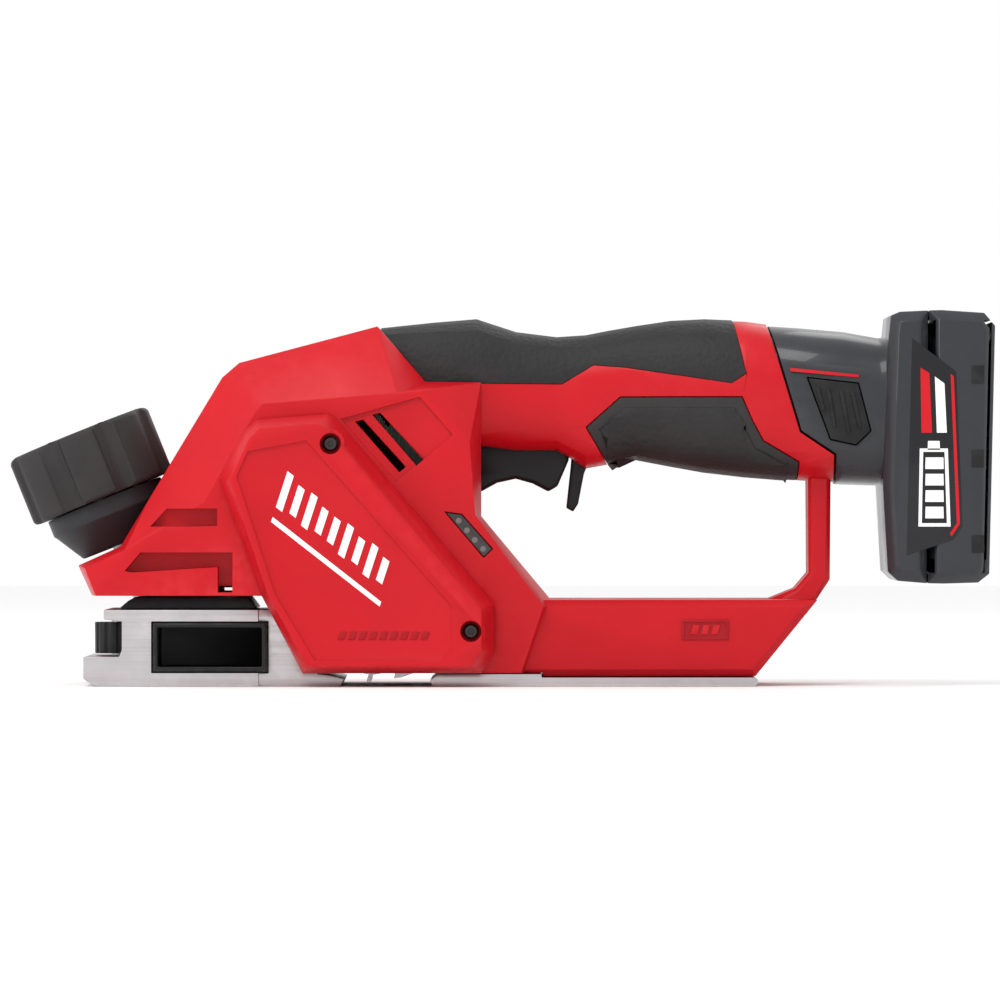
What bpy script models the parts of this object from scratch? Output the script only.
"""Compact cordless electric hand planer, built from its separate pieces.

The tool lies along X, with the depth knob at -X and the battery at +X. The rear sole stands on
z = 0 and the belt side faces -Y. Sizes are in millimetres, and the solids are drawn at one unit
to the millimetre, where Booleans are most exact. They are turned into metres when all are made.
"""
import math

import bmesh
import bpy
from mathutils import Matrix, Vector

MM = 0.001
GAP = 0.3                      # clearance between pieces that touch on the real tool

# Overall sizes
TOOL_HALF_WIDTH = 45.0         # outside of the belt cover and of the right bearing bulge
GRIP_SPAN = 45.0               # stretch of the hand loop between the lock lever and the battery
GRIP_START = 30.0
GRIP_DRAWN = 45.0              # the span that the outlines below are drawn for

# Housing
BODY_SIDE = 33.0               # left side wall of the body
TOP_HALF_WIDTH = 22.0          # width of the body along its top and front edges
WALL = 2.4
BODY_BOTTOM = 3.9
BASE_BOTTOM = 2.9
BOSS_END = 12.0                # rear end of the sole's raised boss under the body
STRUT_HALF_WIDTH = 12.0
BULGE_BOTTOM = 10.7            # nothing stands beside the drum lower than this: the rebate depth

# Drum, blades and soles
DRUM_X = -32.8
DRUM_Z = 19.0
DRUM_RADIUS = 17.0
CUTTING_RADIUS = 18.75
BLADE_WIDTH = 56.0
BLADE_LEFT = -24.0
BLADE_RIGHT = BLADE_LEFT + BLADE_WIDTH
SOLE_RIGHT = BLADE_RIGHT + 0.6
SOLE_THICKNESS = 2.8
CHAMBER_RADIUS = CUTTING_RADIUS + 1.6
BLADE_PHASE = math.radians(194.0)   # one blade stands just before the lowest point
SHAFT_RADIUS = 3.0
BEARING_RADIUS = 6.5
BEARING_WIDTH = 5.0
PULLEY_WIDTH = 6.0
DRUM_PULLEY_RADIUS = 9.5
MOTOR_PULLEY_RADIUS = 6.5
BELT_THICKNESS = 1.6

# Motor
MOTOR_X = -62.8
MOTOR_Z = 57.3
MOTOR_RADIUS = 18.0
MOTOR_BORE = 13.0
STATOR_LENGTH = 28.0
ROTOR_RADIUS = 12.4
FAN_RADIUS = 17.0
FAN_WIDTH = 5.0
MOTOR_BEARING_RADIUS = 5.5
MOTOR_BEARING_WIDTH = 4.0

# Depth screw and knob
DEPTH_TILT = math.radians(22.0)
SEAT_X = -111.6
SEAT_Z = 41.2
KNOB_RADIUS = 21.9
KNOB_HEIGHT = 20.7
DIAL_HEIGHT = 14.4
DIAL_RADIUS = 17.9
DEPTH_SCREW_RADIUS = 3.0
SHOE_TRAVEL = 2.16             # along the screw, which lifts the shoe by 2 mm
SHOE_LIFT = SHOE_TRAVEL * math.cos(DEPTH_TILT)

# Front shoe
SHOE_TOP = 22.3
GUIDE_TOP = 26.0               # of the guide block that carries the shoe
SHOE_FRONT = -121.7
THROAT_X = -46.8
PORT_FRONT = -101.8
PORT_REAR = -67.8
PORT_BOTTOM = 3.9
PORT_TOP = 18.9
CHUTE_WALL = 1.4
CLAMP_WHEEL_RADIUS = 7.4
CLAMP_WHEEL_X = -112.4
SHOE_WALL = 3.0

# Controls
TRIGGER_PIVOT = (-10.0, 62.5)
TRIGGER_HALF_WIDTH = 7.0
LEVER_PIVOT = (23.6, 68.6)
PIN_RADIUS = 1.5
FOOT_PIVOT = (84.5, 19.5)
FOOT_TIP_X = 67.5
FOOT_SLOT_FRONT = FOOT_TIP_X - 1.3
FOOT_HALF_WIDTH = 7.0

# Rubber and battery
RUBBER = 1.2                   # thickness of the soft grip
SECTION_POWER = 0.62           # 1 draws an ellipse and 0 a rectangle
CELL_RADIUS = 8.75
CELL_LENGTH = 65.0
BATTERY_HALF_WIDTH = 29.0
BATTERY_TILT = math.radians(1.5)
BATTERY_WALL = 1.4
STEM_FRONT = 57.8
STEM_MIDDLE = 84.6             # height of the stem's middle line at its front end
STEM_HALF_HEIGHT = 18.6
STEM_HALF_WIDTH = 20.0
TAB_FACE = 25.0                # outside of a release tab, from the middle
TAB_THICKNESS = 2.4
TAB_ROOM = 1.8                 # how far a tab could sink before it met its pocket
BASE_CELL_X = 132.7             # at the lower end of the base cells
SOLE_FRONT = -20.5
SOLE_REAR = 75.0
CHUTE_WEB = 3.0
KNOB_FLUTES = 8
SCREW_HEAD_RADIUS = 2.4
SCREW_SEAT_RADIUS = SCREW_HEAD_RADIUS + 0.7
SCREW_SHANK_RADIUS = 1.4
COVER_SCREWS = ((-49.4, 70.7), (-8.6, 16.2))
HOUSING_SCREWS = ((-84.0, 43.0, 26.0), (9.6, 16.0, 26.0), (-56.0, 88.0, 21.0))   # X, Z, seat at Y
HOUSING_SCREW_LENGTH = 36.0
SOLE_SCREWS = ((-2.0, -20.0), (62.0, 20.0))
SOLE_SCREW_LENGTH = 5.4
BALL_RADIUS = 1.5
BALL_OFFSET = 9.0

AXIS_Y = Vector((0.0, 1.0, 0.0))
AXIS_Z = Vector((0.0, 0.0, 1.0))
DEPTH_AXIS = Vector((-math.sin(DEPTH_TILT), 0.0, math.cos(DEPTH_TILT)))


# ---------------------------------------------------------------- helpers

def along(x):
    """The outlines are drawn for the usual grip: a longer grip moves what is behind it back."""
    share = min(max((x - GRIP_START) / GRIP_DRAWN, 0.0), 1.0)
    return x + (GRIP_SPAN - GRIP_DRAWN) * share


def material(name, colour, roughness, metallic=0.0):
    finish = bpy.data.materials.new(name)
    finish.use_nodes = True
    shader = finish.node_tree.nodes["Principled BSDF"]
    shader.inputs["Base Color"].default_value = (*colour, 1.0)
    shader.inputs["Roughness"].default_value = roughness
    shader.inputs["Metallic"].default_value = metallic
    return finish


def finish_mesh(name, mesh_data, finish):
    """Turn a bmesh into a linked object with outward faces."""
    bmesh.ops.remove_doubles(mesh_data, verts=mesh_data.verts, dist=0.00001)
    bmesh.ops.recalc_face_normals(mesh_data, faces=mesh_data.faces)
    mesh = bpy.data.meshes.new(name)
    mesh_data.to_mesh(mesh)
    mesh_data.free()
    piece = bpy.data.objects.new(name, mesh)
    bpy.context.collection.objects.link(piece)
    if finish:
        mesh.materials.append(finish)
    return piece


def stack(name, rings, finish=None):
    """Skin a list of rings, each a list of (x, y, z) corners, and close both ends."""
    mesh_data = bmesh.new()
    rows = []
    for ring in rings:
        rows.append([mesh_data.verts.new((along(x), y, z)) for x, y, z in ring])
    mesh_data.faces.new(rows[0])
    mesh_data.faces.new(rows[-1])
    count = len(rows[0])
    sides = []
    for lower, upper in zip(rows, rows[1:]):
        for i in range(count):
            after = (i + 1) % count
            sides.append(mesh_data.faces.new((lower[i], lower[after], upper[after], upper[i])))
    bmesh.ops.triangulate(mesh_data, faces=sides)
    return finish_mesh(name, mesh_data, finish)


def prism(name, outline, y_start, y_end, finish=None):
    """A plate whose outline lies in the XZ plane and whose thickness runs along Y."""
    return stack(name, [[(x, y, z) for x, z in outline] for y in (y_start, y_end)], finish)


def chamfered_prism(name, outline, y_start, y_end, chamfer, finish=None):
    """A prism whose two side faces are smaller than its middle by a chamfer."""
    inner = inset_outline(outline, chamfer)
    rings = [
        [(x, y_start, z) for x, z in inner],
        [(x, y_start + chamfer, z) for x, z in outline],
        [(x, y_end - chamfer, z) for x, z in outline],
        [(x, y_end, z) for x, z in inner],
    ]
    return stack(name, rings, finish)


def inset_outline(outline, distance):
    """Move every side of a closed outline inwards by the same distance."""
    count = len(outline)
    area = sum(
        outline[i][0] * outline[(i + 1) % count][1] - outline[(i + 1) % count][0] * outline[i][1]
        for i in range(count)
    )
    turn = 1.0 if area > 0 else -1.0
    result = []
    for i in range(count):
        corner = Vector(outline[i])
        before = (corner - Vector(outline[i - 1])).normalized()
        after = (Vector(outline[(i + 1) % count]) - corner).normalized()
        normal_before = Vector((-before.y, before.x)) * turn
        normal_after = Vector((-after.y, after.x)) * turn
        middle = (normal_before + normal_after).normalized()
        reach = distance / max(middle.dot(normal_after), 0.3)
        result.append(tuple(corner + middle * reach))
    return result


def box(name, x_range, y_range, z_range, finish=None):
    outline = [
        (x_range[0], z_range[0]),
        (x_range[1], z_range[0]),
        (x_range[1], z_range[1]),
        (x_range[0], z_range[1]),
    ]
    return prism(name, outline, y_range[0], y_range[1], finish)


def frame_at(point, direction):
    """The matrix that carries the Z axis onto a direction through a point."""
    place = Vector((along(point[0]), point[1], point[2]))
    turn = AXIS_Z.rotation_difference(Vector(direction).normalized())
    return Matrix.Translation(place) @ turn.to_matrix().to_4x4()


def revolve(name, profile, point, direction, finish=None, sides=24, closed=False):
    """Spin (radius, height) corners about a line. A closed profile makes a ring."""
    mesh_data = bmesh.new()
    corners = [mesh_data.verts.new((radius, 0.0, height)) for radius, height in profile]
    pairs = list(zip(corners, corners[1:]))
    if closed:
        pairs.append((corners[-1], corners[0]))
    edges = [mesh_data.edges.new(pair) for pair in pairs]
    bmesh.ops.spin(
        mesh_data, geom=corners + edges, cent=(0, 0, 0), axis=AXIS_Z,
        angle=2.0 * math.pi, steps=sides, use_merge=True,
    )
    mesh_data.transform(frame_at(point, direction))
    piece = finish_mesh(name, mesh_data, finish)
    return piece


def rod(name, radius, point, direction, length, finish=None, sides=20):
    """A plain cylinder from a point along a direction."""
    profile = [(0.0, 0.0), (radius, 0.0), (radius, length), (0.0, length)]
    return revolve(name, profile, point, direction, finish, sides)


def ring(name, inner, outer, point, direction, length, finish=None, sides=20):
    profile = [(inner, 0.0), (outer, 0.0), (outer, length), (inner, length)]
    return revolve(name, profile, point, direction, finish, sides, closed=True)


def split_into_triangles(piece):
    """Flat triangles keep a long chain of Booleans exact, because a larger face is never quite flat."""
    mesh_data = bmesh.new()
    mesh_data.from_mesh(piece.data)
    bmesh.ops.triangulate(mesh_data, faces=mesh_data.faces)
    mesh_data.to_mesh(piece.data)
    mesh_data.free()


def combine(target, tool, operation):
    """Join, cut or intersect two solids, and use the second one up."""
    split_into_triangles(target)
    split_into_triangles(tool)
    modifier = target.modifiers.new(operation.lower(), "BOOLEAN")
    modifier.operation = operation
    modifier.object = tool
    # The housing takes some seventy cuts in a row, and the exact solver loses it on the way.
    modifier.solver = "MANIFOLD" if target.name == "housing" else "EXACT"
    shape = target.evaluated_get(bpy.context.evaluated_depsgraph_get())
    mesh = bpy.data.meshes.new_from_object(shape)
    target.modifiers.clear()
    target.data = mesh
    bpy.data.objects.remove(tool)
    return target


def cut(target, *tools):
    for tool in tools:
        combine(target, tool, "DIFFERENCE")
    return target


def join(target, *tools):
    for tool in tools:
        combine(target, tool, "UNION")
    return target


def copy_of(piece, name, finish=None):
    twin = bpy.data.objects.new(name, piece.data.copy())
    bpy.context.collection.objects.link(twin)
    if finish:
        twin.data.materials.clear()
        twin.data.materials.append(finish)
    return twin


def smooth(piece):
    for face in piece.data.polygons:
        face.use_smooth = True
    return piece


def pivot(name, point, direction):
    """An empty whose Z axis lies on a joint's axis, placed in metres."""
    place = frame_at(point, direction)
    place.translation *= MM
    empty = bpy.data.objects.new(name, None)
    empty.matrix_world = place
    bpy.context.collection.objects.link(empty)
    return empty


def tidy(piece):
    """Take out the edges that Booleans leave across flat faces."""
    mesh_data = bmesh.new()
    mesh_data.from_mesh(piece.data)
    bmesh.ops.remove_doubles(mesh_data, verts=mesh_data.verts, dist=0.001)
    bmesh.ops.dissolve_degenerate(mesh_data, edges=mesh_data.edges, dist=0.001)
    bmesh.ops.dissolve_limit(
        mesh_data, angle_limit=math.radians(0.1), verts=mesh_data.verts, edges=mesh_data.edges)
    bmesh.ops.triangulate(mesh_data, faces=mesh_data.faces)
    mesh_data.to_mesh(piece.data)
    mesh_data.free()


def turn_into_metres():
    """Scale every solid from millimetres to metres about the world's origin."""
    for piece in bpy.data.objects:
        if piece.parent is None and piece.type == "MESH":
            tidy(piece)
            piece.data.transform(Matrix.Scale(MM, 4) @ piece.matrix_world)
            piece.matrix_world = Matrix.Identity(4)


def hang(empty, *pieces):
    """Carry pieces by an empty, with their origins on its axis."""
    for piece in pieces:
        piece.data.transform(empty.matrix_world.inverted())
        piece.parent = empty


def on_depth_axis(distance):
    """A point on the depth screw, measured up from the seat of the knob."""
    return (
        SEAT_X + DEPTH_AXIS.x * distance,
        0.0,
        SEAT_Z + DEPTH_AXIS.z * distance,
    )


# ---------------------------------------------------------------- materials

RED = material("red_plastic", (0.66, 0.012, 0.020), 0.38)
SOFT_GRIP = material("rubber_grip", (0.045, 0.041, 0.041), 0.75)
BLACK_PLASTIC = material("black_plastic", (0.018, 0.018, 0.020), 0.45)
SLATE_PLASTIC = material("slate_plastic", (0.048, 0.049, 0.058), 0.45)
LENS = material("smoked_lens", (0.010, 0.010, 0.010), 0.15)
ALUMINIUM = material("machined_aluminium", (0.62, 0.61, 0.62), 0.35, 1.0)
STEEL = material("steel", (0.45, 0.45, 0.46), 0.3, 1.0)
CARBIDE = material("carbide_edge", (0.36, 0.36, 0.38), 0.25, 1.0)
BELT_RUBBER = material("belt_rubber", (0.02, 0.02, 0.02), 0.8)
COPPER = material("wound_stator", (0.50, 0.22, 0.10), 0.4, 1.0)
BOARD = material("circuit_board", (0.03, 0.16, 0.06), 0.5)
CELL_WRAP = material("cell_wrap", (0.10, 0.22, 0.36), 0.4)


# ---------------------------------------------------------------- outlines (X, Z)

BODY_OUTLINE = [
    (-119.6, 26.4), (-123.6, 35.2), (-111.2, 40.8), (-103.3, 53.8), (-81.5, 90.2),
    (-76.5, 94.5), (-36.0, 105.2), (-22.0, 89.0), (-5.7, 88.8), (-5.7, 49.5), (16.4, 23.0),
    (9.0, BODY_BOTTOM), (-57.6, BODY_BOTTOM), (-69.5, 26.4),
]
BODY_SIDE_OUTLINE = [
    (-118.0, 26.4), (-121.2, 34.4), (-109.6, 39.8), (-86.4, 53.8), (-71.6, 80.0),
    (-69.5, 82.4), (-30.0, 85.6), (-23.5, 86.1), (-9.0, 71.4), (-7.4, 50.0), (12.5, 23.1),
    (6.0, BODY_BOTTOM), (-57.6, BODY_BOTTOM), (-69.5, 26.4),
]
BASE_OUTLINE = [
    (-4.0, 25.2), (92.6, 25.2), (74.5, BASE_BOTTOM), (-4.0, BASE_BOTTOM),
]
STRUT_OUTLINE = [
    (77.0, 21.6), (77.4, 24.4), (86.6, 28.4), (90.5, 33.0), (90.3, 64.6), (97.1, 64.9), (96.8, 31.0),
    (92.0, 23.7), (90.0, 21.2),
]
COVER_OUTLINE = [
    (-82.0, 60.8), (-74.6, 74.6), (-71.0, 77.7), (-50.3, 79.4), (-48.8, 78.8), (-30.2, 57.0),
    (-1.9, 24.0), (-1.9, 9.8), (-5.7, BODY_BOTTOM), (-57.6, BODY_BOTTOM), (-69.5, 26.4),
]
COVER_FACE_OUTLINE = [
    (-78.6, 60.2), (-73.0, 72.0), (-70.0, 75.2), (-53.6, 76.6), (-51.4, 75.6), (-33.4, 54.4),
    (-5.6, 22.6), (-5.6, 11.0), (-8.6, 6.0), (-56.0, 6.0), (-67.4, 26.6),
]
COVER_PANEL_OUTLINE = [
    (-76.6, 61.2), (-73.4, 68.4), (-56.4, 71.6), (-14.1, 23.5), (-14.1, 11.2), (-17.0, 7.8),
    (-53.9, 7.8), (-65.4, 27.0),
]
BULGE_OUTLINE = [
    (-74.0, 46.0), (-64.0, 70.0), (-44.0, 72.0), (-4.0, 26.0), (-4.0, BULGE_BOTTOM),
    (-56.0, BULGE_BOTTOM), (-66.0, 26.4),
]
SHOE_OUTLINE = [
    (SHOE_FRONT, 2.2), (-118.2, 0.0), (THROAT_X, 0.0), (THROAT_X + 1.2, 2.2), (-50.5, 3.4),
    (-53.4, 3.6), (-56.4, SHOE_TOP), (-115.7, SHOE_TOP), (-115.7, 19.5), (-110.4, 18.9),
    (-110.4, 10.6), (-111.2, 8.6), (SHOE_FRONT, 8.6),
]
GUIDE_OUTLINE = [
    (-111.5, SHOE_TOP + GAP), (-108.8, GUIDE_TOP - 1.1), (-106.8, GUIDE_TOP), (-74.0, GUIDE_TOP),
    (-71.4, SHOE_TOP + GAP),
]
VENT_SLOT_OUTLINE = [(-42.4, 77.2), (-40.1, 77.8), (-27.6, 64.0), (-29.5, 62.4)]
VENT_SLOT_PITCH = (5.0, 2.0)
# The right side's slots stand behind the left side's ribs, so nobody sees straight through
VENT_STAGGER = (2.0, 1.6)
VENT_RECESS_OUTLINE = [(-46.6, 77.9), (-23.6, 84.4), (-14.0, 73.4), (-30.2, 59.6)]
GAUGE_OUTLINE = [(-15.7, 50.6), (-11.4, 50.0), (-2.6, 40.1), (-4.9, 37.9)]
# The handle: X, underside, top, half width
HANDLE_STATIONS = [
    (-40.0, 84.0, 104.3, 21.4),
    (-20.0, 76.0, 106.3, 21.5),
    (-7.1, 70.0, 107.4, 20.5),
    (4.5, 68.4, 103.6, 18.5),
    (16.5, 68.4, 102.1, 17.6),
    (25.2, 63.4, 102.7, 17.6),
    (31.3, 64.6, 103.9, 17.8),
    (40.0, 66.3, 105.4, 19.0),
    (50.0, 64.4, 106.9, 21.8),
    (60.0, 62.6, 107.4, 23.4),
    (72.0, 61.2, 107.0, 24.2),
    (84.0, 60.2, 105.4, 24.6),
    (99.0, 59.4, 103.2, 24.8),
]
TOP_GRIP_OUTLINE = [
    (-36.1, 110.0), (-34.6, 103.4), (-22.0, 89.0), (17.9, 88.6), (27.2, 94.2), (36.6, 93.5),
    (67.6, 88.9), (71.6, 91.5), (67.2, 110.0),
]
LOWER_GRIP_OUTLINE = [
    (70.6, 84.4), (35.2, 84.4), (25.3, 75.6), (31.3, 65.5), (37.6, 58.0), (52.0, 52.0), (86.4, 52.0),
    (87.3, 65.4), (76.8, 71.6), (73.6, 77.5),
]
COLLAR_CUT_OUTLINE = [
    (77.6, 112.0), (78.2, 105.3), (87.6, 74.2), (97.7, 67.5), (97.7, 50.0), (130.0, 50.0), (130.0, 112.0),
]
# The battery's stem behind the collar: X, underside, top, half width
STEM_STATIONS = [
    (72.0, 60.5, 106.0, 24.0),
    (88.0, 59.6, 105.0, 24.4),
    (100.7, 58.8, 103.9, 24.8),
    (110.8, 58.5, 102.1, 25.2),
    (117.0, 57.0, 102.6, 26.0),
]
TAB_OUTLINE = [(90.0, 90.0), (104.6, 88.4), (108.2, 74.6), (104.0, 70.6), (96.6, 72.2)]
BASE_FRONT_OUTLINE = [
    (113.5, 102.7), (114.1, 108.3), (116.7, 109.4), (125.0, 109.8), (124.6, 30.0), (116.1, 30.7),
    (113.2, 33.4), (111.8, 58.0),
]
BASE_REAR_OUTLINE = [
    (125.3, 109.8), (129.0, 109.9), (141.4, 109.1), (144.6, 105.3), (142.9, 32.8), (139.6, 30.2),
    (129.5, 29.9), (124.9, 30.0),
]


# ---------------------------------------------------------------- housing

def rounded_section(x, middle, half_width, half_height, corners):
    """A ring across the tool, halfway between an ellipse and a rectangle."""
    section = []
    for i in range(corners):
        angle = 2.0 * math.pi * (i + 0.5) / corners
        y = half_width * math.copysign(abs(math.cos(angle)) ** SECTION_POWER, math.cos(angle))
        z = half_height * math.copysign(abs(math.sin(angle)) ** SECTION_POWER, math.sin(angle))
        section.append((x, y, middle + z))
    return section


def handle_form(name, inset, start=0, finish=None):
    """The handle as a loft of rounded sections, optionally smaller by a wall."""
    rings = []
    for x, bottom, top, half_width in HANDLE_STATIONS[start:]:
        low = bottom + inset
        high = top - inset
        wide = half_width - inset
        middle = (low + high) / 2.0
        tall = (high - low) / 2.0
        rings.append(rounded_section(x, middle, wide, tall, 20))
    return smooth(stack(name, rings, finish))


def housing_form():
    """The whole closed outside of the red housing, before it is hollowed and split."""
    body = stack("housing", [
        [(x, -BODY_SIDE, z) for x, z in BODY_SIDE_OUTLINE],
        [(x, -TOP_HALF_WIDTH, z) for x, z in BODY_OUTLINE],
        [(x, TOP_HALF_WIDTH, z) for x, z in BODY_OUTLINE],
        [(x, SOLE_RIGHT, z) for x, z in BODY_SIDE_OUTLINE],
    ], RED)
    bulge = chamfered_prism("bulge", BULGE_OUTLINE, SOLE_RIGHT - 6.0, TOOL_HALF_WIDTH, 3.0)
    base = chamfered_prism("base", BASE_OUTLINE, -BODY_SIDE + 3.0, SOLE_RIGHT - 0.4, 2.0)
    strut = chamfered_prism("strut", STRUT_OUTLINE, -STRUT_HALF_WIDTH, STRUT_HALF_WIDTH, 1.2)
    handle = handle_form("handle", 0.0)
    join(body, handle, base, strut, bulge)
    return cut(body, box("boss_room", (-30.0, BOSS_END + GAP), (-60.0, 60.0), (-5.0, BODY_BOTTOM)))


def shoe_pocket():
    """The space under the nose in which the shoe and its guide block move."""
    left_rear = -BODY_SIDE + WALL
    ceiling = SHOE_TOP + SHOE_LIFT + 2.1
    guide_ceiling = GUIDE_TOP + SHOE_LIFT + 1.2
    front = box("pocket_front", (-130.0, -70.2), (-60.0, 60.0), (-5.0, ceiling))
    rear = prism("pocket_rear", [
        (-71.0, -5.0), (THROAT_X + 2.0, -5.0), (THROAT_X + 2.0, 5.2), (-52.4, 6.8),
        (-55.4, ceiling - 0.4), (-71.0, ceiling - 0.4),
    ], left_rear, 60.0)
    guide = box("pocket_guide", (-114.0, -70.2), (-27.4, 27.4), (ceiling - 0.4, guide_ceiling))
    return [front, rear, guide]


def cavities():
    """What is cut out of the housing to make it a shell with bays for the works."""
    inner = TOP_HALF_WIDTH - 0.5
    side_mouth = rod("side_mouth", CHAMBER_RADIUS, (DRUM_X, BLADE_RIGHT - 1.0, DRUM_Z), AXIS_Y, 2.0, sides=32)
    low_half = box("low_half", (-90.0, 20.0), (0.0, 60.0), (-5.0, BULGE_BOTTOM))
    combine(side_mouth, low_half, "INTERSECT")
    bays = [
        side_mouth,
        # Motor bay, and the way through for its shaft
        rod("motor_bay", MOTOR_RADIUS + 1.0, (MOTOR_X, -24.0, MOTOR_Z), AXIS_Y, 45.0, sides=28),
        rod("motor_bearing_seat_right", MOTOR_BEARING_RADIUS + 0.1, (MOTOR_X, 20.0, MOTOR_Z), AXIS_Y, 6.0),
        rod("motor_shaft_hole", 3.2, (MOTOR_X, -40.0, MOTOR_Z), AXIS_Y, 20.0, sides=16),
        rod("motor_bearing_seat", MOTOR_BEARING_RADIUS + 0.1,
            (MOTOR_X, -24.5 - MOTOR_BEARING_WIDTH, MOTOR_Z), AXIS_Y, 6.0),
        # Drum chamber, its bearings and the way through for its shaft
        rod("chamber", CHAMBER_RADIUS, (DRUM_X, BLADE_LEFT - 0.8, DRUM_Z), AXIS_Y,
            BLADE_WIDTH + 1.2, sides=32),
        rod("drum_bearing_seat", BEARING_RADIUS + 0.1, (DRUM_X, BLADE_LEFT - 0.8 - BEARING_WIDTH, DRUM_Z),
            AXIS_Y, 8.0),
        rod("drum_shaft_hole", 4.2, (DRUM_X, -40.0, DRUM_Z), AXIS_Y, 20.0, sides=16),
        rod("outer_bearing_seat", BEARING_RADIUS + 0.1, (DRUM_X, BLADE_RIGHT + 0.3, DRUM_Z),
            AXIS_Y, BEARING_WIDTH + 3.2),
        box("mouth", (DRUM_X - CHAMBER_RADIUS + 1.4, DRUM_X + 12.6), (BLADE_LEFT - 0.6, 60.0), (-5.0, 9.6)),
        box("rebate", (-57.7, 9.2), (SOLE_RIGHT, 60.0), (-5.0, BULGE_BOTTOM)),
        # Nose hollow behind the seat, electronics bay, handle bay and base hollow
        prism("nose_bay", [(-114.0, 27.0), (-113.0, 35.6), (-96.0, 42.6), (-87.0, 42.6), (-87.0, 27.0)],
              -inner, inner),
        prism("board_bay", [
            (-44.0, 80.0), (-40.0, 98.0), (-24.0, 99.0), (-17.0, 84.0), (-16.4, 47.0), (-3.0, 32.0),
            (-7.0, 30.6), (-36.0, 56.0),
        ], -inner + 2.0, inner - 2.0),
        box("wire_way", (-24.0, 0.0), (-5.0, 5.0), (84.0, 94.0)),
        box("base_bay", (14.0, FOOT_SLOT_FRONT - WALL), (-inner, inner), (6.2, 22.6)),
    ]
    return bays


def seat_cutters():
    """Room for the dial and the knob in the slanted front, and the bore of the depth screw."""
    ball_x, _, ball_z = on_depth_axis(-3.2)
    return [
        rod("dial_room", DIAL_RADIUS + 1.0, on_depth_axis(0.0), DEPTH_AXIS, 60.0, sides=32),
        rod("knob_room", KNOB_RADIUS + 0.8, on_depth_axis(DIAL_HEIGHT - 0.4), DEPTH_AXIS, 50.0, sides=32),
        rod("screw_bore", DEPTH_SCREW_RADIUS + 0.4, on_depth_axis(-14.0), DEPTH_AXIS, 24.0, sides=16),
        rod("ball_pocket", BALL_RADIUS + 0.2, (ball_x, BALL_OFFSET, ball_z), DEPTH_AXIS, 4.0, sides=12),
    ]


def fastener_holes():
    """Screw holes of the belt cover, of the two housing halves and of the sole."""
    hole = SCREW_SHANK_RADIUS + 0.2
    cutters = []
    for x, z in COVER_SCREWS:
        cutters.append(rod("cover_screw_hole", hole, (x, -BODY_SIDE - 4.0, z), AXIS_Y, 9.6, sides=12))
    for x, z, seat in HOUSING_SCREWS:
        cutters.append(rod("housing_screw_hole", hole, (x, seat + 0.6, z), -AXIS_Y, 40.0, sides=12))
        cutters.append(rod("housing_screw_seat", SCREW_SEAT_RADIUS, (x, seat, z), AXIS_Y, 40.0, sides=16))
    for x, y in SOLE_SCREWS:
        cutters.append(rod("sole_screw_hole", hole, (x, y, 0.0), AXIS_Z, SOLE_SCREW_LENGTH + 1.0, sides=12))
    return cutters


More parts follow.
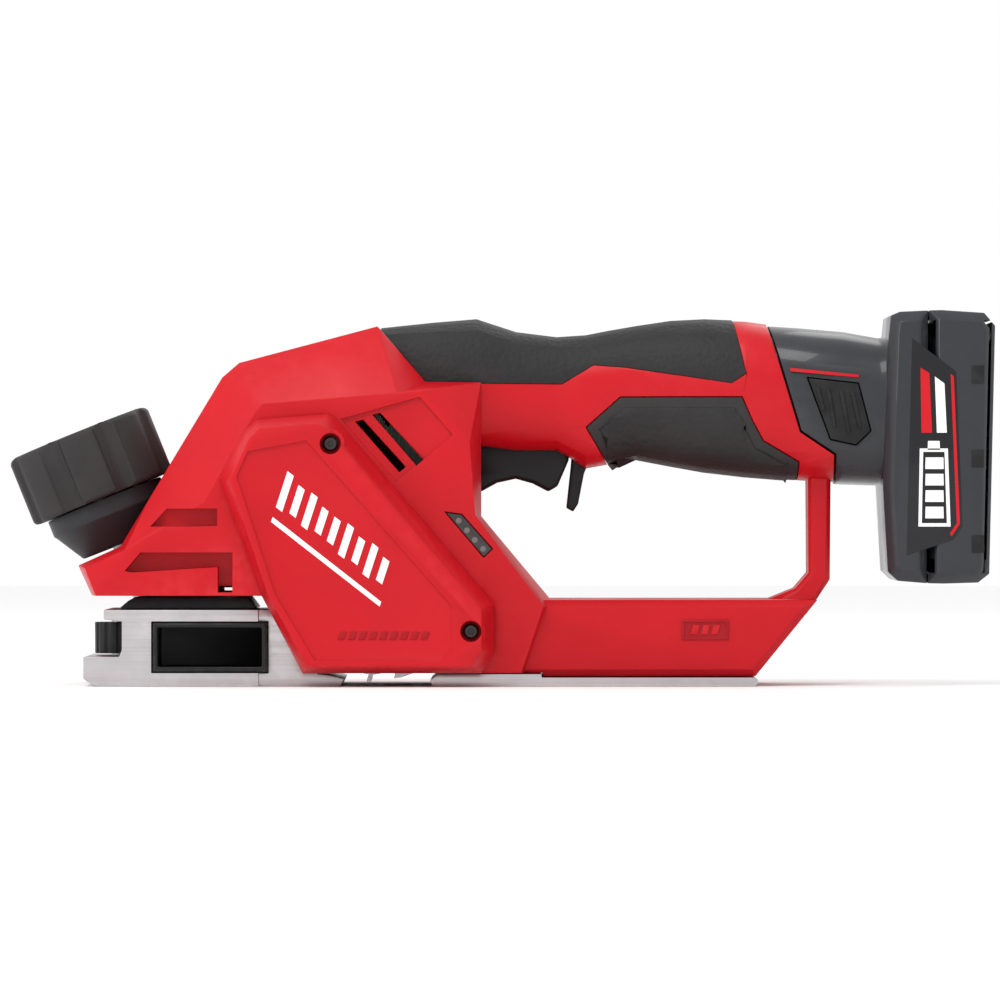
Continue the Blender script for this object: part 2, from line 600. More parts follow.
def make_housing():
    housing = housing_form()
    cut(housing, *shoe_pocket())
    cut(housing, *cavities())
    cut(housing, *seat_cutters())
    for cutter in fastener_holes():
        cut(housing, cutter)
    cut(housing, prism("collar_cut", COLLAR_CUT_OUTLINE, -60.0, 60.0))
    cut(housing, handle_form("handle_bay", WALL, start=2))
    # Trigger and lever slots through the floor of the handle
    cut(housing, box("trigger_slot", (-7.6, 21.4), (-TRIGGER_HALF_WIDTH - 0.6, TRIGGER_HALF_WIDTH + 0.6),
                     (54.5, 76.0)))
    cut(housing, box("lever_slot", (20.0, 27.4), (-TRIGGER_HALF_WIDTH + 1.4, TRIGGER_HALF_WIDTH - 1.4),
                     (56.0, 74.0)))
    # Vents, gauge window, hooks for a dust adapter
    for side, low, high in ((-1.0, -BODY_SIDE - 2.0, -BODY_SIDE + 1.2), (1.0, SOLE_RIGHT - 1.2, 60.0)):
        cut(housing, prism("vent_recess", VENT_RECESS_OUTLINE, low, high))
        for i in range(2):
            along = i * VENT_SLOT_PITCH[0] + (VENT_STAGGER[0] if side > 0.0 else 0.0)
            up = i * VENT_SLOT_PITCH[1] + (VENT_STAGGER[1] if side > 0.0 else 0.0)
            slot = [(x + along, z + up) for x, z in VENT_SLOT_OUTLINE]
            inner_end = side * 17.0
            cut(housing, prism("vent_slot", slot, min(low, inner_end), max(high, inner_end)))
    cut(housing, prism("gauge_window", inset_outline(GAUGE_OUTLINE, -GAP), -60.0, -BODY_SIDE + 2.2))
    for side in (-1.0, 1.0):
        cut_hooks(housing, side)
    # The rubber lies in shallow recesses of the handle
    cut(housing, rubber_form("top_recess", TOP_GRIP_OUTLINE, -GAP))
    cut(housing, rubber_form("lower_recess", LOWER_GRIP_OUTLINE, -GAP))
    # The parking foot lives in a slot of the rear base
    cut(housing, box("foot_slot", (FOOT_SLOT_FRONT, 99.0), (-FOOT_HALF_WIDTH - 0.6, FOOT_HALF_WIDTH + 0.6),
                     (-2.0, 24.0)))
    cut(housing, rod("foot_pin_hole", PIN_RADIUS + 0.1, (FOOT_PIVOT[0], -11.0, FOOT_PIVOT[1]), AXIS_Y, 22.0,
                     sides=12))
    cut(housing, rod("trigger_pin_hole", PIN_RADIUS + 0.1, (TRIGGER_PIVOT[0], -12.0, TRIGGER_PIVOT[1]),
                     AXIS_Y, 24.0, sides=12))
    cut(housing, rod("lever_pin_hole", PIN_RADIUS - 0.2, (LEVER_PIVOT[0], -9.4, LEVER_PIVOT[1]), AXIS_Y, 18.8,
                     sides=12))
    cut(housing, box("trigger_bay", (-14.6, -6.0), (-TRIGGER_HALF_WIDTH - 0.6, TRIGGER_HALF_WIDTH + 0.6),
                     (54.5, 76.0)))
    right = copy_of(housing, "right_housing")
    housing.name = "left_housing"
    cut(housing, box("right_half", (-200.0, 200.0), (-0.15, 90.0), (-20.0, 150.0)))
    cut(right, box("left_half", (-200.0, 200.0), (-90.0, 0.15), (-20.0, 150.0)))
    return housing, right


def cut_hooks(housing, side):
    """Two open channels at the nose, which a dust adapter hooks into."""
    outer = side * 60.0
    floor = side * 26.5
    low, high = min(outer, floor), max(outer, floor)
    cut(housing, prism("upper_hook", [
        (-102.2, 46.6), (-97.5, 51.8), (-82.6, 51.8), (-82.6, 46.8), (-91.0, 46.6),
    ], low, high))
    cut(housing, prism("lower_hook", [
        (-109.6, 33.6), (-105.0, 39.0), (-78.2, 39.0), (-78.2, 27.4), (-82.4, 27.4), (-82.4, 34.8),
        (-107.6, 33.2),
    ], low, high))


def rubber_form(name, outline, gap, finish=None):
    """A shell of the handle's skin inside an outline. A negative gap makes its recess."""
    skin = handle_form(name, -0.6 if gap < 0 else 0.0, finish=finish)
    core = handle_form("core", RUBBER - gap)
    combine(skin, core, "DIFFERENCE")
    combine(skin, prism("trim", inset_outline(outline, gap), -60.0, 60.0), "INTERSECT")
    return skin


def make_belt_cover():
    """The belt side's cover: a deep faceted shell with a sunk panel, screwed to the body."""
    inner_face = -BODY_SIDE - GAP
    cover = stack("belt_cover", [
        [(x, inner_face, z) for x, z in COVER_OUTLINE],
        [(x, inner_face - 4.0, z) for x, z in COVER_OUTLINE],
        [(x, -TOOL_HALF_WIDTH, z) for x, z in COVER_FACE_OUTLINE],
    ], RED)
    hollow = stack("cover_hollow", [
        [(x, inner_face + 1.0, z) for x, z in inset_outline(COVER_OUTLINE, 2.0)],
        [(x, inner_face - 4.0, z) for x, z in inset_outline(COVER_OUTLINE, 2.0)],
        [(x, -TOOL_HALF_WIDTH + 2.4, z) for x, z in inset_outline(COVER_FACE_OUTLINE, 1.6)],
    ])
    cut(cover, hollow)
    cut(cover, prism("panel", COVER_PANEL_OUTLINE, -TOOL_HALF_WIDTH - 2.0, -TOOL_HALF_WIDTH + 0.8))
    for x, z in COVER_SCREWS:
        post = rod("post", 4.2, (x, inner_face, z), -AXIS_Y, TOOL_HALF_WIDTH - 1.6 + inner_face, sides=16)
        join(cover, post)
        counterbore = rod("counterbore", SCREW_SEAT_RADIUS, (x, -TOOL_HALF_WIDTH - 3.0, z), AXIS_Y, 7.0,
                          sides=16)
        shank_hole = rod("shank_hole", SCREW_SHANK_RADIUS + 0.2, (x, -60.0, z), AXIS_Y, 40.0, sides=12)
        cut(cover, counterbore, shank_hole)
    return cover


def make_screw(name, point, direction, length, head_radius=SCREW_HEAD_RADIUS):
    """A pan-head screw with a hexagonal recess. The point is the top of its head."""
    head = 1.8
    profile = [
        (0.0, 0.0), (head_radius * 0.7, 0.0), (head_radius, 0.6), (head_radius, head),
        (SCREW_SHANK_RADIUS, head), (SCREW_SHANK_RADIUS, length), (0.0, length),
    ]
    screw = revolve(name, profile, point, direction, STEEL, sides=12)
    start = Vector(point) - Vector(direction).normalized() * 1.0
    recess = rod("recess", head_radius * 0.45, tuple(start), direction, 2.0, sides=6)
    return cut(screw, recess)


# ---------------------------------------------------------------- works inside

def pulley_y():
    """The middle of the belt's plane, halfway between the body and the cover."""
    return -(BODY_SIDE + TOOL_HALF_WIDTH - 2.4) / 2.0


def make_drive():
    """Motor, fan, belt and drum, with the bearings that carry them."""
    pieces = {}
    half = STATOR_LENGTH / 2.0
    pieces["motor_stator"] = smooth(ring(
        "motor_stator", MOTOR_BORE, MOTOR_RADIUS, (MOTOR_X, -half, MOTOR_Z), AXIS_Y, STATOR_LENGTH,
        COPPER, 24))
    bearing_left = -24.3 - MOTOR_BEARING_WIDTH
    shaft_end = pulley_y() - PULLEY_WIDTH / 2.0
    fan_start = half + 1.2
    bearing_right = fan_start + FAN_WIDTH + 1.0
    rotor_profile = [
        (0.0, shaft_end), (1.6, shaft_end), (1.6, bearing_left), (2.0, bearing_left), (2.0, -half - 1.0),
        (ROTOR_RADIUS, -half - 1.0), (ROTOR_RADIUS, half + 0.4), (2.0, half + 0.4),
        (2.0, bearing_right + MOTOR_BEARING_WIDTH), (0.0, bearing_right + MOTOR_BEARING_WIDTH),
    ]
    motor_line = (MOTOR_X, 0.0, MOTOR_Z)
    pieces["motor_rotor"] = revolve("motor_rotor", rotor_profile, motor_line, AXIS_Y, STEEL, 20)
    pieces["motor_bearing_left"] = ring(
        "motor_bearing_left", 2.0 + GAP, MOTOR_BEARING_RADIUS - GAP / 2, (MOTOR_X, bearing_left, MOTOR_Z),
        AXIS_Y, MOTOR_BEARING_WIDTH, STEEL, 16)
    pieces["motor_bearing_right"] = ring(
        "motor_bearing_right", 2.0 + GAP, MOTOR_BEARING_RADIUS, (MOTOR_X, bearing_right, MOTOR_Z),
        AXIS_Y, MOTOR_BEARING_WIDTH, STEEL, 16)
    pieces["cooling_fan"] = make_fan(fan_start)
    pieces["motor_pulley"] = make_pulley("motor_pulley", MOTOR_PULLEY_RADIUS, 1.6 + GAP / 2, MOTOR_X, MOTOR_Z)
    pieces["drum_pulley"] = make_pulley(
        "drum_pulley", DRUM_PULLEY_RADIUS, SHAFT_RADIUS + GAP / 2, DRUM_X, DRUM_Z)
    pieces["drive_belt"] = make_belt()
    shaft_right = BLADE_RIGHT + 0.6 + BEARING_WIDTH
    pieces["drum_shaft"] = rod(
        "drum_shaft", SHAFT_RADIUS, (DRUM_X, shaft_end - 1.0, DRUM_Z), AXIS_Y, shaft_right - shaft_end + 1.0,
        STEEL, 16)
    pieces["drum_bearing_left"] = ring(
        "drum_bearing_left", SHAFT_RADIUS + GAP, BEARING_RADIUS - GAP / 2,
        (DRUM_X, BLADE_LEFT - 0.6 - BEARING_WIDTH, DRUM_Z), AXIS_Y, BEARING_WIDTH, STEEL, 20)
    pieces["drum_bearing_right"] = ring(
        "drum_bearing_right", SHAFT_RADIUS + GAP, BEARING_RADIUS - GAP / 2,
        (DRUM_X, BLADE_RIGHT + 0.6, DRUM_Z), AXIS_Y, BEARING_WIDTH, STEEL, 20)
    make_cutter(pieces)
    return pieces


def make_pulley(name, radius, bore, x, z):
    """A flanged pulley."""
    low = -PULLEY_WIDTH / 2.0
    high = PULLEY_WIDTH / 2.0
    rim = radius + 1.0
    profile = [
        (bore, low), (rim, low), (rim, low + 0.6), (radius, low + 0.9), (radius, high - 0.9),
        (rim, high - 0.6), (rim, high), (bore, high),
    ]
    return revolve(name, profile, (x, pulley_y(), z), AXIS_Y, BLACK_PLASTIC, 24, closed=True)


def make_belt():
    """A flat belt round both pulleys: two straight runs and two arcs."""
    span = Vector((DRUM_X - MOTOR_X, DRUM_Z - MOTOR_Z))
    heading = math.atan2(span.y, span.x)
    lean = math.acos((MOTOR_PULLEY_RADIUS - DRUM_PULLEY_RADIUS) / span.length)
    width = PULLEY_WIDTH - 2.4

    def loop(extra):
        corners = []
        for radius, x, z, start, end in (
            (MOTOR_PULLEY_RADIUS, MOTOR_X, MOTOR_Z, heading + lean, heading + 2.0 * math.pi - lean),
            (DRUM_PULLEY_RADIUS, DRUM_X, DRUM_Z, heading - lean, heading + lean),
        ):
            for i in range(13):
                angle = start + (end - start) * i / 12
                reach = radius + GAP + extra
                corners.append((x + reach * math.cos(angle), z + reach * math.sin(angle)))
        return corners

    middle = pulley_y()
    belt = prism("drive_belt", loop(BELT_THICKNESS), middle - width / 2, middle + width / 2, BELT_RUBBER)
    return cut(belt, prism("belt_inside", loop(0.0), middle - width, middle + width))


def make_fan(start):
    """A backplate with radial blades."""
    fan = rod("cooling_fan", FAN_RADIUS, (MOTOR_X, start, MOTOR_Z), AXIS_Y, 1.2, BLACK_PLASTIC, 24)
    hub = rod("hub", 4.0, (MOTOR_X, start, MOTOR_Z), AXIS_Y, FAN_WIDTH, sides=12)
    join(fan, hub)
    count = 9
    for i in range(count):
        blade = box("fan_blade", (3.0, FAN_RADIUS - 0.6), (start + 0.6, start + FAN_WIDTH), (-0.5, 0.5))
        blade.data.transform(Matrix.Rotation(2.0 * math.pi * i / count, 4, "Y"))
        blade.data.transform(Matrix.Translation((MOTOR_X, 0.0, MOTOR_Z)))
        join(fan, blade)
    return cut(fan, rod("fan_bore", 2.0 + GAP / 2, (MOTOR_X, 0.0, MOTOR_Z), AXIS_Y, 60.0, sides=12))


def make_cutter(pieces):
    """The drum, and its two blades with their clamps."""
    drum = rod("cutter_drum", DRUM_RADIUS, (DRUM_X, BLADE_LEFT, DRUM_Z), AXIS_Y, BLADE_WIDTH, ALUMINIUM, 28)
    cut(drum, rod("drum_bore", SHAFT_RADIUS + GAP / 2, (DRUM_X, -90.0, DRUM_Z), AXIS_Y, 180.0, sides=16))
    gullet_floor = DRUM_RADIUS - 7.0
    for i in range(2):
        turn = Matrix.Rotation(math.pi * i + BLADE_PHASE, 4, "Y")
        place = Matrix.Translation((DRUM_X, 0.0, DRUM_Z)) @ turn
        gullet = box("gullet", (-5.6, 2.2), (BLADE_LEFT - 1.0, BLADE_RIGHT + 1.0), (gullet_floor, 30.0))
        gullet.data.transform(place)
        cut(drum, gullet)
        blade = box(f"blade_{i + 1}", (0.9, 1.9), (BLADE_LEFT, BLADE_RIGHT),
                    (gullet_floor + GAP, CUTTING_RADIUS), CARBIDE)
        clamp = prism(f"blade_clamp_{i + 1}", [
            (-3.6, gullet_floor + GAP), (0.6, gullet_floor + GAP), (0.6, DRUM_RADIUS - 0.6),
            (-1.4, DRUM_RADIUS - 1.4), (-3.6, DRUM_RADIUS - 4.6),
        ], BLADE_LEFT + 0.5, BLADE_RIGHT - 0.5, STEEL)
        blade.data.transform(place)
        clamp.data.transform(place)
        pieces[blade.name] = blade
        pieces[clamp.name] = clamp
    pieces["cutter_drum"] = drum


# ---------------------------------------------------------------- soles and shoe

def make_rear_sole():
    """The fixed rear sole, with a thicker boss under the body and a rounded rear end."""
    plate_top = BASE_BOTTOM - GAP
    sole = prism("rear_sole", [
        (SOLE_FRONT, 1.8), (SOLE_FRONT + 0.6, 0.0), (SOLE_REAR - 0.8, 0.0), (SOLE_REAR, 0.8),
        (SOLE_REAR, plate_top - 0.6), (SOLE_REAR - 0.6, plate_top), (BOSS_END, plate_top),
        (BOSS_END, BODY_BOTTOM - GAP), (SOLE_FRONT + 2.0, BODY_BOTTOM - GAP),
    ], -BODY_SIDE, SOLE_RIGHT, ALUMINIUM)
    cut(sole, box("foot_notch", (FOOT_SLOT_FRONT, 90.0), (-FOOT_HALF_WIDTH - 0.6, FOOT_HALF_WIDTH + 0.6),
                  (-1.0, 9.0)))
    for x, y in SOLE_SCREWS:
        cone = revolve("countersink", [
            (0.0, -1.0), (3.4, -1.0), (3.4, 0.5), (1.6, 1.9), (1.6, 9.0), (0.0, 9.0),
        ], (x, y, 0.0), AXIS_Z, sides=12)
        cut(sole, cone)
    return sole


def make_sole_screw(name, x, y):
    profile = [(0.0, 0.3), (2.9, 0.3), (2.9, 0.5), (SCREW_SHANK_RADIUS, 1.7),
               (SCREW_SHANK_RADIUS, SOLE_SCREW_LENGTH), (0.0, SOLE_SCREW_LENGTH)]
    screw = revolve(name, profile, (x, y, 0.0), AXIS_Z, STEEL, sides=12)
    return cut(screw, rod("recess", 1.2, (x, y, -1.0), AXIS_Z, 2.4, sides=6))


def make_shoe():
    """The movable front shoe, a machined block with the chip passage through it."""
    shoe = prism("front_shoe", SHOE_OUTLINE, -BODY_SIDE, SOLE_RIGHT, ALUMINIUM)
    cut(
        shoe,
        box("rear_step", (-70.6, -40.0), (-60.0, -BODY_SIDE + WALL + GAP), (-1.0, 30.0)),
        box("window", (PORT_FRONT, PORT_REAR), (-60.0, 60.0), (PORT_BOTTOM, PORT_TOP)),
        box("chip_way", (PORT_REAR - 4.0, -40.0), (-27.2, SOLE_RIGHT - SHOE_WALL), (PORT_BOTTOM, PORT_TOP)),
        rod("wheel_room", CLAMP_WHEEL_RADIUS + 0.6, (CLAMP_WHEEL_X, 0.0, 8.6), AXIS_Z, 10.3, sides=24),
        rod("clamp_screw_hole", 2.5 + GAP, (CLAMP_WHEEL_X, 0.0, 3.0), AXIS_Z, 30.0, sides=16),
        rod("depth_screw_hole", DEPTH_SCREW_RADIUS + GAP, on_depth_axis(-22.2), DEPTH_AXIS, 10.0, sides=16),
    )
    groove = stack("edge_groove", [
        [(x, -2.4, -0.4), (x, 0.0, 2.0), (x, 2.4, -0.4)] for x in (-130.0, -98.0)
    ])
    return cut(shoe, groove)


def make_guide_block():
    block = prism("shoe_guide_block", GUIDE_OUTLINE, -26.0, 26.0, BLACK_PLASTIC)
    hole = rod("depth_screw_hole", DEPTH_SCREW_RADIUS + GAP, on_depth_axis(-26.0), DEPTH_AXIS, 20.0, sides=16)
    return cut(block, hole)


def make_chute():
    """The black chip passage: a lined window on each side, and a wall that parts the chips."""
    front, rear = PORT_FRONT + GAP, PORT_REAR - GAP
    bottom, top = PORT_BOTTOM + GAP, PORT_TOP - GAP
    left, right = -BODY_SIDE + 0.3, SOLE_RIGHT - 0.3
    chute = box("chip_chute", (front, rear), (left, right), (bottom, top), BLACK_PLASTIC)
    for low, high in ((-60.0, -CHUTE_WEB / 2.0), (CHUTE_WEB / 2.0, 60.0)):
        hollow = box("hollow", (front + CHUTE_WALL, rear - CHUTE_WALL), (low, high),
                     (bottom + CHUTE_WALL, top - CHUTE_WALL))
        cut(chute, hollow)
    for low, high in ((-26.0, -CHUTE_WEB / 2.0), (CHUTE_WEB / 2.0, SOLE_RIGHT - 6.0)):
        entry = box("entry", (rear - 4.0, rear + 4.0), (low, high), (bottom + CHUTE_WALL, top - CHUTE_WALL))
        cut(chute, entry)
    return chute


def make_clamp_wheel():
    """The edge guide's clamp wheel, with ribs round its rim, and its screw."""
    wheel = ring("guide_clamp_wheel", 2.5 + GAP / 2, CLAMP_WHEEL_RADIUS, (CLAMP_WHEEL_X, 0.0, 9.2), AXIS_Z,
                 9.2, BLACK_PLASTIC, 24)
    count = 12
    for i in range(count):
        angle = 2.0 * math.pi * i / count
        x = CLAMP_WHEEL_X + (CLAMP_WHEEL_RADIUS + 0.3) * math.cos(angle)
        y = (CLAMP_WHEEL_RADIUS + 0.3) * math.sin(angle)
        cut(wheel, rod("rib_groove", 0.9, (x, y, 8.0), AXIS_Z, 12.0, sides=6))
    screw = rod("guide_clamp_screw", 2.5 - GAP / 2, (CLAMP_WHEEL_X, 0.0, 3.4), AXIS_Z, 18.2, STEEL, 16)
    return wheel, screw


# ---------------------------------------------------------------- depth control

def make_depth_control():
    """Knob, dial, screw and click ball on the slanted screw axis."""
    seat = on_depth_axis(0.0)
    bore = DEPTH_SCREW_RADIUS + GAP / 2
    knob_start = DIAL_HEIGHT + GAP
    knob_end = knob_start + KNOB_HEIGHT
    knob = revolve("depth_knob", [
        (bore, knob_start), (KNOB_RADIUS - 0.8, knob_start), (KNOB_RADIUS, knob_start + 0.8),
        (KNOB_RADIUS, knob_end - 1.6), (KNOB_RADIUS - 0.5, knob_end - 0.5), (KNOB_RADIUS - 1.8, knob_end),
        (8.0, knob_end), (7.0, knob_end - 1.0), (bore, knob_end - 1.0),
    ], seat, DEPTH_AXIS, SOFT_GRIP, sides=40, closed=True)
    for i in range(KNOB_FLUTES):
        angle = 2.0 * math.pi * (i + 0.5) / KNOB_FLUTES
        flute = rod("flute", 5.0, (0.0, 0.0, 0.0), AXIS_Z, 60.0, sides=10)
        flute.data.transform(Matrix.Translation((
            (KNOB_RADIUS + 3.4) * math.cos(angle), (KNOB_RADIUS + 3.4) * math.sin(angle), 0.0)))
        flute.data.transform(frame_at(seat, DEPTH_AXIS))
        cut(knob, flute)
    dial = revolve("depth_dial", [
        (bore, GAP), (12.2, GAP), (17.3, 8.8), (DIAL_RADIUS, 9.4), (DIAL_RADIUS, DIAL_HEIGHT),
        (bore, DIAL_HEIGHT),
    ], seat, DEPTH_AXIS, BLACK_PLASTIC, sides=32, closed=True)
    screw = rod("depth_screw", DEPTH_SCREW_RADIUS, on_depth_axis(-19.4), DEPTH_AXIS, 19.4 + knob_end - 1.6,
                STEEL, 16)
    x, _, z = on_depth_axis(-1.35)
    bpy.ops.mesh.primitive_uv_sphere_add(
        segments=12, ring_count=8, radius=BALL_RADIUS, location=(along(x), BALL_OFFSET, z))
    ball = bpy.context.active_object
    ball.name = "detent_ball"
    ball.data.materials.append(STEEL)
    return knob, dial, screw, ball


# ---------------------------------------------------------------- controls

def make_trigger():
    trigger = chamfered_prism("trigger", [
        (-13.4, 59.5), (-13.4, 65.6), (-8.0, 70.5), (2.0, 73.0), (19.4, 73.0), (20.2, 66.3),
        (16.8, 58.4), (14.1, 56.8), (9.5, 59.2), (4.5, 60.6), (-1.0, 59.4), (-5.7, 56.8), (-9.0, 57.4),
    ], -TRIGGER_HALF_WIDTH, TRIGGER_HALF_WIDTH, 1.0, BLACK_PLASTIC)
    x, z = TRIGGER_PIVOT
    return cut(trigger, rod("pin_hole", PIN_RADIUS + GAP, (x, -20.0, z), AXIS_Y, 40.0, sides=12))


def make_lever():
    lever = chamfered_prism("lock_lever", [
        (21.3, 71.4), (26.0, 71.4), (26.2, 66.0), (24.6, 62.0), (22.9, 53.2), (21.4, 50.9),
        (19.4, 52.0), (20.7, 64.0),
    ], -TRIGGER_HALF_WIDTH + 2.0, TRIGGER_HALF_WIDTH - 2.0, 0.6, BLACK_PLASTIC)
    x, z = LEVER_PIVOT
    return cut(lever, rod("pin_hole", PIN_RADIUS + GAP - 0.3, (x, -20.0, z), AXIS_Y, 40.0, sides=12))


def make_foot():
    """The parking foot, stowed in the slanted end of the base."""
    x, z = FOOT_PIVOT
    foot = chamfered_prism("parking_foot", [
        (x + 1.4, z + 3.1), (x + 3.6, z + 2.2), (x + 3.9, z - 0.6), (x - 9.1, z - 16.6), (x - 10.4, z - 16.9),
        (FOOT_TIP_X, z - 16.9), (FOOT_TIP_X, z - 15.5), (x - 10.2, z - 12.0), (x - 3.4, z - 1.0),
        (x - 2.4, z + 2.2), (x - 0.4, z + 3.4),
    ], -FOOT_HALF_WIDTH, FOOT_HALF_WIDTH, 0.8, BLACK_PLASTIC)
    return cut(foot, rod("pin_hole", PIN_RADIUS + GAP, (x, -20.0, z), AXIS_Y, 40.0, sides=12))


def make_pin(name, point, half_length, radius=PIN_RADIUS):
    x, z = point
    return rod(name, radius, (x, -half_length, z), AXIS_Y, 2.0 * half_length, STEEL, 12)


# ---------------------------------------------------------------- battery

def on_battery_axis(x):
    """Height of the battery's middle line, which sinks a little towards the rear."""
    return STEM_MIDDLE - (x - STEM_FRONT) * math.tan(BATTERY_TILT)


def stem_form(name, inset, x_start, x_end, finish=None):
    """The part of the battery that slides into the handle: one section, swept along its axis."""
    rings = [
        rounded_section(x, on_battery_axis(x), STEM_HALF_WIDTH - inset, STEM_HALF_HEIGHT - inset, 24)
        for x in (x_start, x_end)
    ]
    return smooth(stack(name, rings, finish))


def collar_form(name):
    """The wider part of the stem behind the handle's collar."""
    rings = [
        rounded_section(x, (top + bottom) / 2.0, half_width, (top - bottom) / 2.0, 24)
        for x, bottom, top, half_width in STEM_STATIONS
    ]
    form = smooth(stack(name, rings))
    behind = prism("behind_collar", inset_outline(COLLAR_CUT_OUTLINE, 0.6), -60.0, 60.0)
    return combine(form, behind, "INTERSECT")


def make_battery():
    """Case with stem, rear cap, two release tabs and six cells."""
    pieces = {}
    case = stem_form("battery_case", 0.0, STEM_FRONT, 112.0, SLATE_PLASTIC)
    front = chamfered_prism("base_front", BASE_FRONT_OUTLINE, -BATTERY_HALF_WIDTH, BATTERY_HALF_WIDTH, 3.0)
    join(case, collar_form("collar"), front)
    cut(
        case,
        stem_form("stem_hollow", BATTERY_WALL - 0.4, STEM_FRONT + BATTERY_WALL, 140.0),
        prism("base_hollow", [(117.0, 105.5), (140.0, 105.5), (140.0, 34.6), (117.0, 34.6)],
              -BATTERY_HALF_WIDTH + 3.2, BATTERY_HALF_WIDTH - 3.2),
    )
    cap = chamfered_prism("battery_cap", BASE_REAR_OUTLINE, -BATTERY_HALF_WIDTH, BATTERY_HALF_WIDTH, 3.0,
                          SLATE_PLASTIC)
    inside = [(100.0, 107.0), (143.6, 106.8), (141.9, 33.0), (100.0, 33.0)]
    cut(cap, prism("cap_hollow", inside, -BATTERY_HALF_WIDTH + 1.2, BATTERY_HALF_WIDTH - 1.2))
    pieces["battery_case"] = case
    pieces["battery_cap"] = cap
    for side, word in ((-1.0, "left"), (1.0, "right")):
        pocket_low, pocket_high = sorted((side * 40.0, side * (TAB_FACE - TAB_THICKNESS - TAB_ROOM)))
        cut(case, prism("tab_pocket", inset_outline(TAB_OUTLINE, -GAP), pocket_low, pocket_high))
        name = f"battery_tab_{word}"
        low, high = sorted((side * TAB_FACE, side * (TAB_FACE - TAB_THICKNESS)))
        pieces[name] = prism(name, TAB_OUTLINE, low, high, BLACK_PLASTIC)
    tilt = Vector((math.cos(BATTERY_TILT), 0.0, -math.sin(BATTERY_TILT)))
    rise = CELL_RADIUS * math.sqrt(3.0) / 2.0
    spots = ((0.0, -rise), (-CELL_RADIUS - 0.1, rise), (CELL_RADIUS + 0.1, rise))
    start = STEM_FRONT + BATTERY_WALL + GAP
    for i, (y, lift) in enumerate(spots):
        name = f"stem_cell_{i + 1}"
        pieces[name] = rod(name, CELL_RADIUS, (start, y, on_battery_axis(start) + lift), tilt, CELL_LENGTH,
                           CELL_WRAP, 20)
    upright = Vector((math.sin(BATTERY_TILT), 0.0, math.cos(BATTERY_TILT)))
    for i in range(3):
        name = f"base_cell_{i + 1}"
        y = (i - 1) * (2.0 * CELL_RADIUS + GAP)
        pieces[name] = rod(name, CELL_RADIUS, (BASE_CELL_X, y, 37.0), upright, CELL_LENGTH, CELL_WRAP, 20)
    return pieces


# ---------------------------------------------------------------- assembly

def make_grips():
    """The soft grip: a saddle over the handle and a wrap under it, each in two halves."""
    halves = []
    for word, outline in (("top", TOP_GRIP_OUTLINE), ("lower", LOWER_GRIP_OUTLINE)):
        left = rubber_form(f"left_{word}_grip", outline, 0.0, SOFT_GRIP)
        right = copy_of(left, f"right_{word}_grip")
        cut(left, box("right_side", (-200.0, 200.0), (-0.15, 90.0), (-20.0, 150.0)))
        cut(right, box("left_side", (-200.0, 200.0), (-90.0, 0.15), (-20.0, 150.0)))
        halves += [left, right]
    return halves


def make_electrics():
    """Control board behind the motor, switch over the trigger, and battery contacts."""
    board = box("control_board", (-1.0, 1.0), (-17.0, 17.0), (-17.0, 17.0), BOARD)
    chip = box("heat_sink", (0.4, 5.0), (-10.0, 10.0), (-11.0, 11.0))
    join(board, chip)
    lean = math.radians(-33.0)
    board.data.transform(Matrix.Rotation(lean, 4, "Y"))
    board.data.transform(Matrix.Translation((-28.2, 0.0, 66.0)))
    switch = box("trigger_switch", (2.0, 25.0), (-8.0, 8.0), (79.0, 96.0), BLACK_PLASTIC)
    join(switch, box("plunger", (10.0, 17.0), (-3.0, 3.0), (77.9, 80.0)))
    block = box("terminal_block", (44.0, STEM_FRONT - 4.0), (-13.0, 13.0), (74.0, 96.0), BLACK_PLASTIC)
    for y in (-8.0, 0.0, 8.0):
        join(block, box("contact", (STEM_FRONT - 6.0, STEM_FRONT - 0.6), (y - 0.4, y + 0.4), (80.0, 90.0)))
    lens = prism("gauge_lens", GAUGE_OUTLINE, -BODY_SIDE - 0.1, -BODY_SIDE + 1.8, LENS)
    return board, switch, block, lens


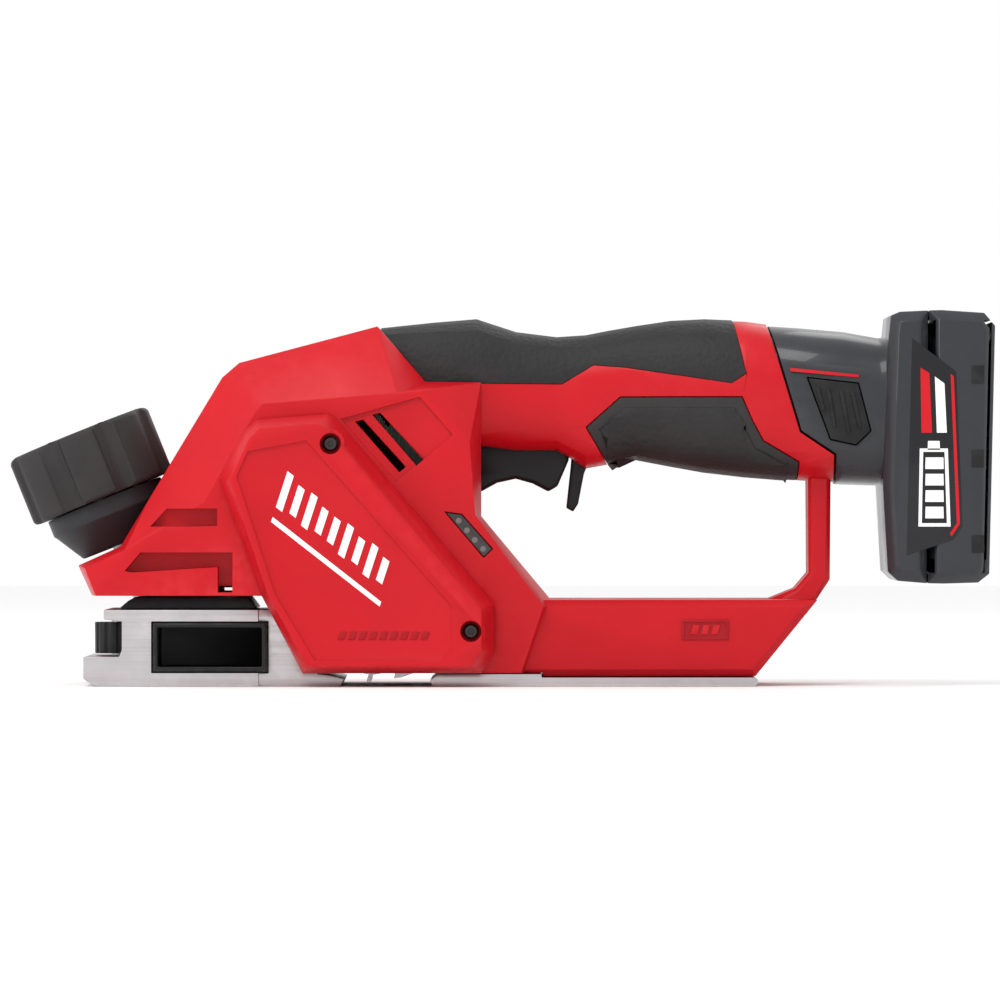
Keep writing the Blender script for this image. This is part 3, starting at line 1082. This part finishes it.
def main():
    for old in list(bpy.data.objects):
        bpy.data.objects.remove(old)
    make_housing()
    make_belt_cover()
    make_grips()
    make_electrics()
    for name, (x, z) in zip(("cover_screw_upper", "cover_screw_lower"), COVER_SCREWS):
        make_screw(name, (x, -TOOL_HALF_WIDTH + 1.9, z), AXIS_Y, 14.0)
    for i, (x, z, seat) in enumerate(HOUSING_SCREWS):
        make_screw(f"housing_screw_{i + 1}", (x, seat + 1.8 + GAP, z), -AXIS_Y, HOUSING_SCREW_LENGTH)
    for i, (x, y) in enumerate(SOLE_SCREWS):
        make_sole_screw(f"sole_screw_{i + 1}", x, y)
    make_rear_sole()
    make_pin("trigger_pin", TRIGGER_PIVOT, 11.0)
    make_pin("lock_lever_pin", LEVER_PIVOT, 9.0, radius=PIN_RADIUS - 0.3)
    make_pin("foot_pin", FOOT_PIVOT, 10.0)
    drive = make_drive()
    knob, dial, screw, _ = make_depth_control()
    wheel, clamp_screw = make_clamp_wheel()
    shoe, guide, chute = make_shoe(), make_guide_block(), make_chute()
    trigger, lever, foot = make_trigger(), make_lever(), make_foot()
    battery = make_battery()
    turn_into_metres()

    # Every moving piece hangs on an empty that lies on its joint's axis.
    spinning = (
        "cutter_drum", "drum_shaft", "drum_pulley", "blade_1", "blade_2", "blade_clamp_1", "blade_clamp_2",
    )
    hang(pivot("drum_axis", (DRUM_X, 0.0, DRUM_Z), AXIS_Y), *(drive[name] for name in spinning))
    spinning = ("motor_rotor", "cooling_fan", "motor_pulley")
    hang(pivot("motor_axis", (MOTOR_X, 0.0, MOTOR_Z), AXIS_Y), *(drive[name] for name in spinning))
    hang(pivot("depth_axis", on_depth_axis(0.0), DEPTH_AXIS), knob, dial, screw)
    hang(pivot("shoe_slide", on_depth_axis(-20.0), DEPTH_AXIS), shoe, guide, chute)
    hang(pivot("clamp_axis", (CLAMP_WHEEL_X, 0.0, 9.2), AXIS_Z), wheel, clamp_screw)
    hang(pivot("trigger_axis", (TRIGGER_PIVOT[0], 0.0, TRIGGER_PIVOT[1]), -AXIS_Y), trigger)
    hang(pivot("lever_axis", (LEVER_PIVOT[0], 0.0, LEVER_PIVOT[1]), AXIS_Y), lever)
    hang(pivot("foot_axis", (FOOT_PIVOT[0], 0.0, FOOT_PIVOT[1]), -AXIS_Y), foot)
    tab_x, tab_z = TAB_OUTLINE[0]
    hang(pivot("left_tab_slide", (tab_x, -TAB_FACE, tab_z), AXIS_Y), battery.pop("battery_tab_left"))
    hang(pivot("right_tab_slide", (tab_x, TAB_FACE, tab_z), -AXIS_Y), battery.pop("battery_tab_right"))
    out_of_handle = (math.cos(BATTERY_TILT), 0.0, -math.sin(BATTERY_TILT))
    hang(pivot("battery_slide", (STEM_FRONT, 0.0, STEM_MIDDLE), out_of_handle), *battery.values())


main()
